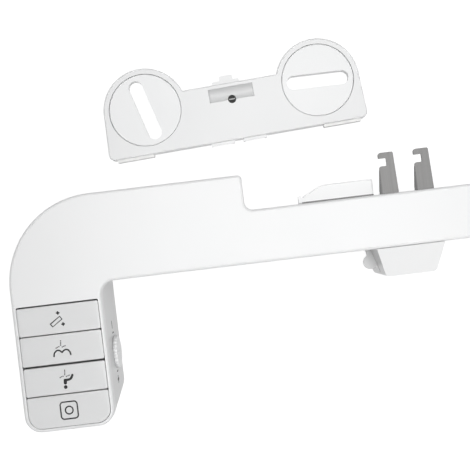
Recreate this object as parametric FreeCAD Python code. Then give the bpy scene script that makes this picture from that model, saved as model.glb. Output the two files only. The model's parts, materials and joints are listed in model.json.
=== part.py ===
"""Slim water-powered bidet attachment: slab, control arm, nozzle housing and a separate seat-bolt bracket.

Model space, in millimetres: +X to the right, +Y to the back (away from the person), +Z up.
x = 0 is half way between the two steel hooks, y = 0 the middle of the slab's depth, and z = 0 the slab's
underside.  save() moves every piece so that the origin is the middle of the rim pad's lower face.
"""
import FreeCAD, Part
import math
import os

V = FreeCAD.Vector

# ---- slab and control arm -------------------------------------------------------------------------------
slab_depth = 36.7
slab_height = 8.5
wing_depth = 24.5            # how far the wide parts reach back beyond the recess
recess_half_width = 111.5
recess_corner = 5.5
right_end_x = 135.0
right_end_corner = 12.0
arm_outer_x = -277.5
arm_width = 61.5
arm_reach = 97.3             # how far the arm comes forward of the slab's front edge
arm_corner = 60.5
arm_front_corner = 11.5
inner_fillet = 9.0
cover_wall = 1.8
cover_edge = 2.0
base_thickness = 1.6
shell_gap = 0.2

# ---- control box under the arm --------------------------------------------------------------------------
box_drop = 51.5
box_wall = 2.0
box_back_reach = 44.7        # from the slab's front edge to the box's back wall
box_back_corner = 50.0
box_inner_corner = 4.0
box_front_slope = 10.0       # how much further back the front wall is at the bottom
ledge_width = 1.5
ledge_thickness = 2.0

# ---- keys -----------------------------------------------------------------------------------------------
window_rim_outer = 2.9
window_rim_inner = 2.2
window_rim_front = 2.2
window_setback = 10.9        # from the slab's front edge to the window's back edge
window_corner = 9.5
window_back_corner = 1.2
key_last_depth = 22.4
key_gap = 0.3
key_back_gaps = [1.0, 0.35, 1.0, 0.35]
key_proud = 0.5
key_top = 2.0
key_skirt = 6.5
key_wall = 1.4
key_edge = 0.6
key_travel = 3.0
key_corner = 1.2
key_names = ["clean", "front", "rear", "off"]

# ---- key frame, plungers, springs and valve -------------------------------------------------------------
frame_top = -1.2
frame_thickness = 2.0
frame_gap = 0.3
plunger_r = 2.5
plunger_gap = 0.1
plunger_bottom = -18.0
plunger_collar_r = 3.6
plunger_collar_height = 1.2
collar_gap = 0.2
boss_r = 4.2
cam_r = 5.5
spring_wire_r = 0.45
spring_r = 5.4
spring_turns = 5
sections_per_turn = 12
wire_sides = 6
latch_top = -7.0
latch_thickness = 1.2
latch_width = 14.0
latch_travel = 3.0
latch_gap = 0.3
latch_front_margin = 9.4
latch_stop_half = 2.6
latch_spring_r = 1.5
latch_spring_wire_r = 0.25
latch_spring_turns = 7
latch_stop_drop = 4.5
valve_top = -10.6
valve_height = 20.0
valve_width = 18.0
valve_front_margin = 4.55
valve_back_margin = 7.5
valve_centre_offset = 0.6
seal_r = 4.2
seal_section = 0.8
valve_bore_margin = 4.6
post_r = 3.0

# ---- pressure dial and its valve ------------------------------------------------------------------------
dial_setback = 52.3          # from the slab's front edge
dial_z = -25.0
dial_r = 11.5
dial_height = 3.6
dial_gap = 0.3
dial_flutes = 20
flute_r = 0.9
spindle_r = 3.0
spindle_gap = 0.05
flow_body_width = 18.0
flow_body_height = 18.0
flow_body_depth = 18.0

# ---- water inlet ----------------------------------------------------------------------------------------
inlet_x = -227.5
inlet_r = 10.4
inlet_length = 14.6
inlet_flange_r = 11.4
inlet_flange = 2.0
inlet_bore_r = 8.0
inlet_bore_depth = 12.0
nipple_r = 4.0
feed_r = 3.0
feed_bore_r = 2.0

# ---- hoses ----------------------------------------------------------------------------------------------
hose_clearance = 0.25
hose_bore_r = 1.4
hose_bend = 8.0
hose_tail = 0.2
hose_socket = 2.0
hose_pitch = 5.2
hose_front_margin = 0.65      # from the cover's front wall to the first hose
hose_port_z = -18.0
hose_port_pitch = 5.4
hose_drop_x = -6.0
hose_names = ["clean", "front", "rear"]

# ---- nozzle housing -------------------------------------------------------------------------------------
housing_x = -2.0
housing_half_back = 23.5
housing_half_front = 17.5
housing_front_reach = 20.3   # forward of the slab's front edge
housing_wall = 1.8
housing_top = 7.6            # height of the sloping top where it meets the slab
housing_top_front = -2.4
housing_corner = 3.0
ear_x = 28.0
ear_behind = 0.5
ear_r = 3.2
ear_thickness = 2.2
guard_thickness = 1.6
guard_half_width = 14.6
guard_top = -7.0
guard_bottom_gap = 1.0
guard_pin_r = 1.0
guard_knuckle_r = 2.2
pin_gap = 0.05

# ---- nozzles --------------------------------------------------------------------------------------------
nozzle_tilt = 15.0
nozzle_r = 3.8
nozzle_length = 38.0
nozzle_keep = 7.0            # stays in the sleeve at full reach
nozzle_gap = 0.1
sleeve_wall = 1.2
sleeve_length = 36.0
sleeve_back_gap = 0.9
sleeve_cap = 2.0
sleeve_top_z = -10.5
aim_travel = 3.0
bar_thickness = 2.6
bar_z = -22.0
bar_reach = 14.5             # forward of the sleeves' tops
bar_margin = 3.0
tab_r = 5.0
tab_x = -26.6
tab_forward = 9.8            # forward of the slab's front edge
tab_neck = 4.0
tab_neck_forward = 3.3
spigot_r = 1.9
spigot_z = -12.5
spigot_gap = 0.1
port_r = 2.9

# ---- hooks on the slab's back edge ----------------------------------------------------------------------
hook_spacing = 24.2
hook_plate = 2.0
hook_z = 3.2
hook_reach = 28.3
hook_inside = 9.0
hook_base_half = 6.55
hook_notch_start = 19.0
hook_notch_end = 24.35
hook_notch_depth = 4.9
hook_flange = 1.2
hook_slot_gap = 0.2

# ---- base plate tongue, rim pad and screws --------------------------------------------------------------
tongue_left = -74.5
tongue_right = -22.5
tongue_reach = 11.5
tongue_thickness = 3.0
tongue_chamfer_x = 14.4
tongue_gap = 0.2
tongue_upright = 5.0
pad_thickness = 1.5
pad_half_length = 108.0
pad_depth = 11.0
pad_margin = 1.85            # from the rim pad to the recess edge
screw_r = 1.4
screw_head_r = 2.6
screw_head = 1.0
case_boss_r = 3.0
case_boss_margin = 12.0
case_boss_recess_margin = 10.35
case_boss_wing_margin = 12.85

# ---- bracket --------------------------------------------------------------------------------------------
bracket_x = -110.8
bracket_y = 106.05
bracket_turn = 3.15
bracket_height = 9.0
bracket_floor = 1.8
bracket_wall = 2.0
disc_half_spacing = 65.0
bracket_front_margin = 6.6
bracket_back_v = 9.5
bracket_flare = 1.6
bracket_end_corner = 4.5
disc_r = 26.6
disc_flange = 1.6
disc_seat_wall = 2.5
disc_flange_top = 4.4
disc_top = 8.8
disc_gap = 0.3
disc_seat_gap = 0.2
disc_support = 1.2
slot_length = 46.0
slot_width = 10.2
slot_turn_left = -73.1
slot_turn_right = 0.0
centre_screw_v = -3.0
centre_screw_r = 1.5
centre_head_r = 3.0
patch_half = 17.0
patch_front_v = -3.7
patch_back_v = 7.0
patch_depth = 0.3
mouth_half = 7.4
mouth_lip = 2.0
mouth_lip_wall = 1.5
pad_strip_length = 28.0
pad_strip_end = 5.6
pad_strip_out = 2.0

# ---- release slider -------------------------------------------------------------------------------------
release_travel = 5.4
slider_z = 5.5
slider_top = 6.7
tooth_width = 4.2
tooth_bottom = 3.0
slider_back_left = -12.8
slider_back_right = 7.5
release_slot_gap = 0.3
thumb_left = -7.0
thumb_right = 3.0
thumb_v = 15.4
strip_v = 12.0
release_spring_r = 1.7
release_spring_wire_r = 0.3
release_spring_turns = 7

# ---- places that follow from the sizes above ------------------------------------------------------------
back_y = slab_depth / 2
front_y = -slab_depth / 2
wing_y = back_y + wing_depth
arm_inner_x = arm_outer_x + arm_width
arm_front_y = front_y - arm_reach
box_back_y = front_y + box_back_reach
ceiling = slab_height - cover_wall
pad_centre_y = back_y - pad_margin - pad_depth / 2
window_left = arm_outer_x + window_rim_outer
window_right = arm_inner_x - window_rim_inner
window_back = front_y - window_setback
window_front = arm_front_y + window_rim_front
key_pitch = (window_back - window_front - key_last_depth) / 3
key_x = (window_left + window_right) / 2
key_backs = [window_back - i * key_pitch for i in range(4)]
key_fronts = key_backs[1:] + [window_front]
key_ys = [(a + b) / 2 for a, b in zip(key_backs, key_fronts)]
valve_left = key_x - valve_width / 2 - valve_centre_offset
valve_right = valve_left + valve_width
valve_front = key_ys[3] - valve_front_margin
valve_back_y = key_ys[0] + valve_back_margin
valve_bottom = valve_top - valve_height
dial_y = front_y - dial_setback
flow_body_left = arm_inner_x - box_wall - flow_body_width
hose_r = (ceiling - base_thickness) / 2 - hose_clearance
hose_z = (ceiling + base_thickness) / 2
hose_first_y = front_y + cover_wall + hose_front_margin + hose_r
hose_last_y = hose_first_y + 2 * hose_pitch
housing_back_y = hose_last_y + hose_r + 0.6 + housing_wall
housing_front_y = front_y - housing_front_reach
ear_y = housing_back_y + ear_behind
bracket_front_v = -disc_r - bracket_front_margin
valve_bore_depth = valve_top - plunger_bottom + key_travel + valve_bore_margin
nozzle_stroke = sleeve_length - sleeve_cap - nozzle_keep
tilt = math.radians(nozzle_tilt)
nozzle_axis = V(0, -math.sin(tilt), -math.cos(tilt))
sleeve_r = nozzle_r + nozzle_gap + sleeve_wall
sleeve_top_y = housing_back_y - housing_wall - aim_travel - sleeve_r / math.cos(tilt) - sleeve_back_gap
nozzle_half_pitch = sleeve_r + 0.5
spigot_x = nozzle_half_pitch + sleeve_r + 2.3
bar_half_width = spigot_x + bar_margin
bar_front_y = sleeve_top_y - bar_reach
bar_back_y = sleeve_top_y + 0.5
tab_y = front_y - tab_forward
tab_neck_y = front_y - tab_neck_forward
hook_xs = {"left": -hook_spacing / 2, "right": hook_spacing / 2}
disc_flange_r = disc_r + disc_flange
ear_outer_r = disc_flange_r + disc_gap + disc_seat_wall
floor_opening_r = disc_r - disc_support
bracket_end_u = disc_half_spacing + ear_outer_r + bracket_flare
bracket_cavity_half = disc_half_spacing - ear_outer_r - 1.0
pad_strip_outer = bracket_end_u - pad_strip_end
pad_strip_inner = pad_strip_outer - pad_strip_length
case_boss_places = [
    (arm_inner_x + case_boss_margin + 4, wing_y - case_boss_wing_margin),
    (-recess_half_width - case_boss_margin, wing_y - case_boss_wing_margin),
    (-recess_half_width + 2 * case_boss_margin, back_y - case_boss_recess_margin),
    (recess_half_width - 2 * case_boss_margin, back_y - case_boss_recess_margin),
    (right_end_x - case_boss_margin, wing_y - case_boss_wing_margin),
    (right_end_x - case_boss_margin, front_y + case_boss_wing_margin),
]


# ---- shape helpers --------------------------------------------------------------------------------------
def box(x0, x1, y0, y1, z0, z1):
    """Block between two corners."""
    return Part.makeBox(x1 - x0, y1 - y0, z1 - z0, V(x0, y0, z0))


def rod(start, end, radius):
    """Round bar from one point to another."""
    run = end - start
    return Part.makeCylinder(radius, run.Length, start, run)


def disc(x, y, z0, z1, radius):
    """Upright round bar between two heights."""
    return rod(V(x, y, z0), V(x, y, z1), radius)


def rounded(points, z=0.0):
    """Closed outline of (x, y, corner radius) points, each corner an arc tangent to its two sides."""
    corners = []
    count = len(points)
    for i, (x, y, radius) in enumerate(points):
        here = V(x, y, z)
        before = V(points[i - 1][0], points[i - 1][1], z) - here
        after = V(points[(i + 1) % count][0], points[(i + 1) % count][1], z) - here
        before.normalize()
        after.normalize()
        if radius == 0:
            corners.append((here, None, here))
            continue
        half = before.getAngle(after) / 2
        middle = before + after
        middle.normalize()
        centre = here + middle * (radius / math.sin(half))
        start = here + before * (radius / math.tan(half))
        end = here + after * (radius / math.tan(half))
        corners.append((start, centre - middle * radius, end))
    edges = []
    for i, (start, bend, end) in enumerate(corners):
        last_end = corners[i - 1][2]
        if (start - last_end).Length > 1e-6:
            edges.append(Part.LineSegment(last_end, start).toShape())
        if bend is not None:
            edges.append(Part.Arc(start, bend, end).toShape())
    return Part.Wire(edges)


def prism(points, z0, z1):
    """Upright solid with a rounded outline."""
    return Part.Face(rounded(points, z0)).extrude(V(0, 0, z1 - z0))


def block(x0, x1, y0, y1, z0, z1, corner):
    """Block with its four upright corners rounded."""
    return prism([(x0, y0, corner), (x1, y0, corner), (x1, y1, corner), (x0, y1, corner)], z0, z1)


def round_edges(shape, height, radius):
    """Round every edge that lies wholly at one height."""
    edges = [e for e in shape.Edges if all(abs(v.Z - height) < 1e-4 for v in e.Vertexes)]
    return shape.makeFillet(radius, edges)


def spring(radius, wire_r, length, turns):
    """Coil spring standing on z = 0: six-sided wire sections set along a helix and joined by a loft."""
    height = length - 2 * wire_r
    steps = turns * sections_per_turn
    rise = math.atan(height / (turns * 2 * math.pi * radius))
    sections = []
    for i in range(steps + 1):
        angle = 2 * math.pi * i / sections_per_turn
        outward = V(math.cos(angle), math.sin(angle), 0)
        upward = V(math.sin(angle) * math.sin(rise), -math.cos(angle) * math.sin(rise), math.cos(rise))
        centre = outward * radius + V(0, 0, wire_r + height * i / steps)
        corners = []
        for k in range(wire_sides):
            around = 2 * math.pi * k / wire_sides
            corners.append(centre + (outward * math.cos(around) + upward * math.sin(around)) * wire_r)
        sections.append(Part.makePolygon(corners + [corners[0]]))
    return Part.makeLoft(sections, True, True)


def pipe(points, bend, radius, bore_r):
    """Hose of straight runs joined by arcs of one radius, bored through."""
    edges = []
    start = points[0]
    for before, here, after in zip(points, points[1:], points[2:]):
        back = before - here
        on = after - here
        back.normalize()
        on.normalize()
        half = back.getAngle(on) / 2
        middle = back + on
        middle.normalize()
        enter = here + back * (bend / math.tan(half))
        leave = here + on * (bend / math.tan(half))
        apex = here + middle * (bend / math.sin(half) - bend)
        edges.append(Part.LineSegment(start, enter).toShape())
        edges.append(Part.Arc(enter, apex, leave).toShape())
        start = leave
    edges.append(Part.LineSegment(start, points[-1]).toShape())
    path = Part.Wire(edges)
    run = points[1] - points[0]
    walls = []
    for size in (radius, bore_r):
        ring = Part.Wire(Part.makeCircle(size, points[0], run))
        walls.append(path.makePipeShell([ring], True, False))
    return walls[0].cut(walls[1])


def save(name, *solids):
    """Write one node, moved so that the origin is the middle of the rim pad's lower face."""
    parts = []
    for solid in solids:
        parts.extend(solid.Solids)
    shape = parts[0] if len(parts) == 1 else Part.makeCompound(parts)
    shape = shape.copy()
    shape.translate(V(0, -pad_centre_y, pad_thickness))
    shape.exportStep("parts/" + name + ".step")


# ---- slab, arm and their lower shells -------------------------------------------------------------------
def cover_outline():
    """Plan of the slab with its recess, wings and forward arm."""
    return [
        (right_end_x, front_y, right_end_corner),
        (right_end_x, wing_y, right_end_corner),
        (recess_half_width, wing_y, 3.0),
        (recess_half_width, back_y, recess_corner),
        (-recess_half_width, back_y, recess_corner),
        (-recess_half_width, wing_y, 3.0),
        (arm_outer_x, wing_y, arm_corner),
        (arm_outer_x, arm_front_y, arm_front_corner),
        (arm_inner_x, arm_front_y, arm_front_corner),
        (arm_inner_x, front_y, inner_fillet),
    ]


def inside_cover(inset, z0, z1):
    """The cover's plan drawn in by a distance, as an upright solid."""
    face = Part.Face(rounded(cover_outline())).makeOffset2D(-inset)
    solid = face.extrude(V(0, 0, z1 - z0))
    solid.translate(V(0, 0, z0))
    return solid


def box_outline(inset, setback):
    """Plan of the control box, drawn in by a distance, with its front wall set back."""
    left = arm_outer_x + inset
    right = arm_inner_x - inset
    back = box_back_y - inset
    front = arm_front_y + inset + setback
    return [
        (right, back, box_inner_corner - inset),
        (left, back, box_back_corner - inset),
        (left, front, arm_front_corner - inset),
        (right, front, arm_front_corner - inset),
    ]


def top_cover():
    shell = round_edges(prism(cover_outline(), 0, slab_height), slab_height, cover_edge)
    shell = shell.cut(inside_cover(cover_wall, -1, ceiling))
    window = [
        (window_right, window_back, window_back_corner),
        (window_left, window_back, window_back_corner),
        (window_left, window_front, window_corner),
        (window_right, window_front, window_corner),
    ]
    shell = shell.cut(prism(window, ceiling - 1, slab_height + 1))
    for x, y in case_boss_places:
        boss = disc(x, y, base_thickness, ceiling + 0.5, case_boss_r)
        shell = shell.fuse(boss).cut(disc(x, y, 0, ceiling - 1, screw_r))
    wall_inside = back_y - cover_wall - 1
    for x in hook_xs.values():
        half = hook_base_half + hook_slot_gap
        low = hook_z - hook_slot_gap
        high = hook_z + hook_plate + hook_slot_gap
        shell = shell.cut(box(x - half, x + half, wall_inside, back_y + 1, hook_z - 2 * hook_flange, high))
    left = tongue_left - tongue_gap
    right = tongue_right + tongue_gap
    shell = shell.cut(box(left, right, wall_inside, back_y + 1, -1, tongue_thickness + tongue_gap))
    save("top_cover", shell)


def base_plate():
    plate = inside_cover(cover_wall + shell_gap, 0, base_thickness)
    box_side = arm_inner_x - box_wall + 0.5
    box_end = box_back_y - box_wall
    hollow = box_back_corner - box_wall
    left = arm_outer_x + box_wall
    clear_of_box = prism([
        (box_side, box_end, 0), (left, box_end, hollow),
        (left, arm_front_y - 9, 0), (box_side, arm_front_y - 9, 0),
    ], -1, base_thickness + 1)
    plate = plate.cut(clear_of_box)
    plate = plate.cut(box(arm_outer_x - 1, arm_outer_x + 15.5, arm_front_y, wing_y, -1, base_thickness + 1))
    drop_left = hose_drop_x - hose_bend - 1
    drop_right = hose_drop_x + hose_r + shell_gap
    drop_front = hose_first_y - hose_r - shell_gap
    drop_back = hose_first_y + 2 * hose_pitch + hose_r + shell_gap
    plate = plate.cut(box(drop_left, drop_right, drop_front, drop_back, -1, base_thickness + 1))
    plate = plate.fuse(tongue())
    for x, y in case_boss_places:
        plate = plate.cut(disc(x, y, -1, base_thickness + 1, screw_r + 0.1))
        plate = plate.cut(disc(x, y, -1, screw_head, screw_head_r + 0.2))
    for side in (-1, 1):
        x = housing_x + side * ear_x
        plate = plate.fuse(disc(x, ear_y, 0.5, 4.5, ear_r - 0.7)).cut(disc(x, ear_y, -1, 4.0, screw_r))
    for x in hook_xs.values():
        y = back_y - hook_inside / 2 - 1
        plate = plate.fuse(disc(x, y, 0.5, hook_z, ear_r)).cut(disc(x, y, 0.6, hook_z + 1, screw_r))
    save("base_plate", plate.removeSplitter())


def tongue():
    """Lip of the base plate that shows in the recess, with a small upright end."""
    inner = back_y - cover_wall - 2
    tip = back_y + tongue_reach
    points = [
        (tongue_left, inner, 0),
        (tongue_right, inner, 0),
        (tongue_right, tip, 1.5),
        (tongue_left + tongue_chamfer_x + 2.5, tip, 3.0),
        (tongue_left, back_y + 2.5, 0),
    ]
    plate = prism(points, 0, tongue_thickness)
    end = block(tongue_left, tongue_left + 2.2, back_y + 0.4, back_y + 5.4, 0, tongue_upright, 0.9)
    return plate.fuse(end)


def control_box():
    foot = rounded(box_outline(0, box_front_slope), -box_drop)
    outer = Part.makeLoft([foot, rounded(box_outline(0, 0))], True, True)
    low = rounded(box_outline(box_wall, box_front_slope * (1 - box_wall / box_drop)), box_wall - box_drop)
    shell = outer.cut(Part.makeLoft([low, rounded(box_outline(box_wall, 0))], True, True))
    left = arm_outer_x + box_wall
    right = arm_inner_x - box_wall
    ledge_top = frame_top - frame_thickness
    ledge_low = ledge_top - ledge_thickness
    ledge_front = window_front + window_corner
    for x in (left - 0.5, right - ledge_width):
        ledge = box(x, x + ledge_width + 0.5, ledge_front, window_back, ledge_low, ledge_top)
        shell = shell.fuse(ledge)
    middle = (valve_left + valve_right) / 2
    for y in (key_ys[0], key_ys[3]):
        shell = shell.fuse(disc(middle, y, 0.5 - box_drop, valve_bottom, post_r))
    shell = shell.cut(rod(V(right - 1, dial_y, dial_z), V(arm_inner_x + 1, dial_y, dial_z), spindle_r + 0.3))
    inside = V(inlet_x, box_back_y - box_wall - 1, dial_z)
    shell = shell.cut(rod(inside, V(inlet_x, box_back_y + 1, dial_z), nipple_r))
    save("control_box", shell.removeSplitter())


def rim_pad():
    save("rim_pad", block(-pad_half_length, pad_half_length, pad_centre_y - pad_depth / 2,
                          pad_centre_y + pad_depth / 2, -pad_thickness, 0, 3.0))


def case_screws():
    screws = []
    for x, y in case_boss_places:
        head = disc(x, y, 0.05, screw_head, screw_head_r)
        screws.append(head.fuse(disc(x, y, screw_head, ceiling - 1.5, screw_r)).cut(cross_slot(x, y, 0.05)))
    save("case_screws", *screws)


def cross_slot(x, y, z):
    """Cross recess sunk 0.6 upwards into a screw head whose face is at height z."""
    one = box(x - 1.4, x + 1.4, y - 0.3, y + 0.3, z - 0.1, z + 0.6)
    return one.fuse(box(x - 0.3, x + 0.3, y - 1.4, y + 1.4, z - 0.1, z + 0.6))


# ---- keys and what they press ---------------------------------------------------------------------------
def key(index):
    """Hollow key cap with a stem socket; the front key has the window's big corners."""
    name = key_names[index]
    left = window_left + key_gap
    right = window_right - key_gap
    back = key_backs[index] - key_back_gaps[index]
    front = key_fronts[index] + key_gap
    top = slab_height + key_proud
    bottom = top - key_skirt
    front_corner = window_corner - key_gap if name == "off" else key_corner

    def plan(inset):
        inner_corner = max(front_corner - inset, 0)
        return [(right - inset, back - inset, 0 if inset else key_corner),
                (left + inset, back - inset, 0 if inset else key_corner),
                (left + inset, front + inset, inner_corner), (right - inset, front + inset, inner_corner)]

    cap = round_edges(prism(plan(0), bottom, top), top, key_edge)
    cap = cap.cut(prism(plan(key_wall), bottom - 1, top - key_top))
    cap = cap.fuse(disc(key_x, key_ys[index], bottom, top - key_top + 0.3, boss_r))
    cap = cap.cut(disc(key_x, key_ys[index], bottom - 1, top - key_top - 1, plunger_r))
    save("key_" + name, cap)


def plunger(index):
    """Valve plunger with its retaining collar; the off plunger has a cam cone instead."""
    y = key_ys[index]
    top = slab_height + key_proud - key_top - 1
    stem = disc(key_x, y, plunger_bottom, top, plunger_r)
    under_frame = frame_top - frame_thickness - collar_gap
    if key_names[index] == "off":
        drop = cam_r - plunger_r
        stem = stem.fuse(Part.makeCone(plunger_r, cam_r, drop, V(key_x, y, under_frame - drop), V(0, 0, 1)))
    else:
        stem = stem.fuse(disc(key_x, y, under_frame - plunger_collar_height, under_frame, plunger_collar_r))
    save("plunger_" + key_names[index], stem)


def key_spring(index):
    """Return spring between the key frame and the key's underside."""
    length = slab_height + key_proud - key_top - frame_top
    coil = spring(spring_r, spring_wire_r, length, spring_turns)
    coil.translate(V(key_x, key_ys[index], frame_top))
    save("key_spring_" + key_names[index], coil)


def key_frame():
    left = arm_outer_x + box_wall + frame_gap
    right = arm_inner_x - box_wall - frame_gap
    front = arm_front_y + box_wall + frame_gap + 1.0
    corner = arm_front_corner - box_wall
    low = frame_top - frame_thickness
    plate = prism([(right, window_back + 1, 1.0), (left, window_back + 1, 1.0), (left, front, corner),
                   (right, front, corner)], low, frame_top)
    for y in key_ys:
        plate = plate.cut(disc(key_x, y, low - 1, frame_top + 1, plunger_r + plunger_gap))
    for x in (left + 5, right - 5 - 8):
        for y in key_ys:
            plate = plate.cut(block(x, x + 8, y - 6, y + 6, low - 1, frame_top + 1, 1.5))
    save("key_frame", plate)


def latch_plate():
    """Sliding plate under the key frame; its last slot takes the off plunger's cam cone."""
    low = latch_top - latch_thickness
    half = latch_width / 2
    front = key_ys[3] - latch_front_margin
    plate = block(key_x - half, key_x + half, front, key_ys[0] + 6.5, low, latch_top, 1.0)
    for index in range(3):
        y = key_ys[index]
        r = plunger_collar_r + latch_gap
        hole_front = y - r - latch_travel
        plate = plate.cut(block(key_x - r, key_x + r, hole_front, y + r, low - 1, latch_top + 1, r - 0.1))
    y = key_ys[3]
    wide = cam_r + latch_gap
    lead = plunger_r + latch_gap
    cut_front = y - wide - latch_travel + 0.6
    plate = plate.cut(box(key_x - wide, key_x + wide, cut_front, y + lead, low - 1, latch_top + 1))
    save("latch_plate", plate)


def latch_spring():
    """Compression spring that pushes the latch plate back towards the front."""
    start = key_ys[0] + 6.5
    end = key_ys[0] + 6.5 + 12.0
    coil = spring(latch_spring_r, latch_spring_wire_r, end - start, latch_spring_turns)
    coil.rotate(V(0, 0, 0), V(1, 0, 0), -90)
    coil.translate(V(key_x, start, latch_top - latch_thickness / 2))
    save("latch_spring", coil)


def valve_body():
    body = block(valve_left, valve_right, valve_front, valve_back_y, valve_bottom, valve_top, 1.5)
    rail_top = latch_top - latch_thickness
    for x in (valve_left, valve_right - 1.5):
        body = body.fuse(box(x, x + 1.5, key_ys[3] + 6, valve_back_y - 2, valve_top - 0.5, rail_top))
    stop_y = key_ys[0] + 18.5
    stop_low = valve_top - latch_stop_drop
    stop_left = key_x - latch_stop_half
    stop_right = key_x + latch_stop_half
    body = body.fuse(box(stop_left, stop_right, valve_back_y - 1, stop_y + 2, stop_low, valve_top - 1))
    body = body.fuse(box(stop_left, stop_right, stop_y, stop_y + 2, stop_low, latch_top + 1.5))
    for y in key_ys:
        body = body.cut(disc(key_x, y, valve_top - valve_bore_depth, valve_top + 1, plunger_r + plunger_gap))
        body = body.cut(disc(key_x, y, valve_top - 2, valve_top + 1, seal_r))
    for x in hose_starts():
        port = V(x, valve_back_y + 1, hose_port_z)
        body = body.cut(rod(port - V(0, 13, 0), port, hose_bore_r))
    gallery = valve_top - valve_bore_depth + 1
    body = body.cut(rod(V(key_x, valve_front + 1.5, gallery), V(key_x, valve_back_y - 1.5, gallery), 1.2))
    body = body.cut(rod(V(key_x, dial_y, dial_z), V(valve_right + 1, dial_y, dial_z), 1.2))
    save("valve_body", body)


def valve_seals():
    rings = []
    for y in key_ys:
        ring = disc(key_x, y, valve_top - 2 + 0.1, valve_top - 2 + 2 * seal_section, seal_r)
        rings.append(ring.cut(disc(key_x, y, valve_top - 3, valve_top, plunger_r + spindle_gap)))
    save("valve_seals", *rings)


# ---- pressure dial, inlet and pipes ---------------------------------------------------------------------
def flow_valve():
    y0 = dial_y - flow_body_depth / 2
    z0 = dial_z - flow_body_height / 2
    body = block(flow_body_left, flow_body_left + flow_body_width, y0, y0 + flow_body_depth,
                 z0, z0 + flow_body_height, 2.0)
    bore_start = V(flow_body_left + 2, dial_y, dial_z)
    body = body.cut(rod(bore_start, V(arm_inner_x, dial_y, dial_z), spindle_r + spindle_gap))
    body = body.cut(rod(V(flow_body_left - 1, dial_y, dial_z), V(flow_body_left + 3, dial_y, dial_z), 1.2))
    back = V(inlet_x, y0 + flow_body_depth + 1, dial_z)
    body = body.cut(rod(V(inlet_x, dial_y + 4, dial_z), back, feed_bore_r))
    save("flow_valve", body)


def link_pipe():
    start = V(valve_right, dial_y, dial_z)
    end = V(flow_body_left, dial_y, dial_z)
    save("link_pipe", rod(start, end, 2.4).cut(rod(start, end, 1.2)))


def feed_pipe():
    start = V(inlet_x, dial_y + flow_body_depth / 2, dial_z)
    end = V(inlet_x, box_back_y - box_wall, dial_z)
    save("feed_pipe", rod(start, end, feed_r).cut(rod(start, end, feed_bore_r)))


def inlet_spigot():
    def at(y):
        return V(inlet_x, y, dial_z)

    outside = box_back_y + inlet_flange
    end = outside + inlet_length
    body = rod(at(box_back_y - box_wall), at(box_back_y), nipple_r)
    body = body.fuse(rod(at(box_back_y), at(outside), inlet_flange_r))
    body = body.fuse(rod(at(outside), at(end), inlet_r))
    body = body.cut(rod(at(end - inlet_bore_depth), at(end + 1), inlet_bore_r))
    body = body.cut(rod(at(box_back_y - box_wall - 1), at(end), feed_bore_r))
    save("inlet_spigot", body.removeSplitter())
    filter_end = end - inlet_bore_depth + 2.5
    washer = rod(at(end - inlet_bore_depth), at(filter_end), inlet_bore_r)
    for turn in range(6):
        angle = math.radians(60 * turn)
        hole = V(inlet_x + 4.4 * math.cos(angle), filter_end - 5, dial_z + 4.4 * math.sin(angle))
        washer = washer.cut(rod(hole, hole + V(0, 6, 0), 1.5))
    save("inlet_filter", washer.cut(rod(at(filter_end - 5), at(filter_end + 1), 1.5)))


def pressure_dial():
    wall = arm_inner_x
    start = V(wall + dial_gap, dial_y, dial_z)
    end = V(wall + dial_height, dial_y, dial_z)
    knob = rod(start, end, dial_r)
    rim = [e for e in knob.Edges if all(abs(v.X - end.x) < 1e-4 for v in e.Vertexes)]
    knob = knob.makeFillet(0.8, rim)
    for i in range(dial_flutes):
        angle = 2 * math.pi * i / dial_flutes
        reach = dial_r + 0.35 * flute_r
        side = V(0, reach * math.cos(angle), reach * math.sin(angle))
        knob = knob.cut(rod(start + side - V(1, 0, 0), end + side + V(1, 0, 0), flute_r))
    knob = knob.cut(rod(start - V(1, 0, 0), end - V(1.6, 0, 0), spindle_r))
    pointer = box(end.x - 0.7, end.x + 1, dial_y - 0.7, dial_y + 0.7, dial_z + 2.5, dial_z + dial_r - 1.6)
    knob = knob.cut(pointer)
    save("pressure_dial", knob)
    save("dial_spindle", rod(V(flow_body_left + 3.5, dial_y, dial_z), end - V(1.6, 0, 0), spindle_r))


def hose_starts():
    """Where the three hoses leave the valve body, from the outside inwards."""
    return [key_x + (i - 1) * hose_port_pitch for i in range(3)]


def hoses():
    for i, name in enumerate(hose_names):
        x = hose_starts()[i]
        y = hose_first_y + i * hose_pitch
        points = [
            V(x, valve_back_y, hose_port_z),
            V(x, y, hose_port_z),
            V(x, y, hose_z),
            V(hose_drop_x, y, hose_z),
            V(hose_drop_x, y, hose_z - hose_bend - hose_tail - hose_socket),
        ]
        save("hose_" + name, pipe(points, hose_bend, hose_r, hose_bore_r))


# ---- nozzle housing and what is in it -------------------------------------------------------------------
def housing_outline(inset):
    """Plan of the nozzle housing: parallel under the slab, narrowing to the front."""
    back = housing_back_y - inset
    front = housing_front_y + inset
    wide = housing_half_back - inset
    narrow = housing_half_front - inset
    corner = housing_corner - inset
    return [
        (housing_x + wide, back, corner), (housing_x - wide, back, corner), (housing_x - wide, front_y, 0),
        (housing_x - narrow, front, corner), (housing_x + narrow, front, corner),
        (housing_x + wide, front_y, 0),
    ]


def above_slope(offset):
    """Everything above the housing's sloping top, moved down by an offset."""
    rise = housing_top - housing_top_front
    far = front_y + 60
    grow = rise / housing_front_reach
    top = housing_top - offset
    near = front_y - 60
    side = [V(-60, near, top - 60 * grow), V(-60, far, top + 60 * grow), V(-60, far, 90), V(-60, near, 90)]
    return Part.Face(Part.makePolygon(side + [side[0]])).extrude(V(120, 0, 0))


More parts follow.
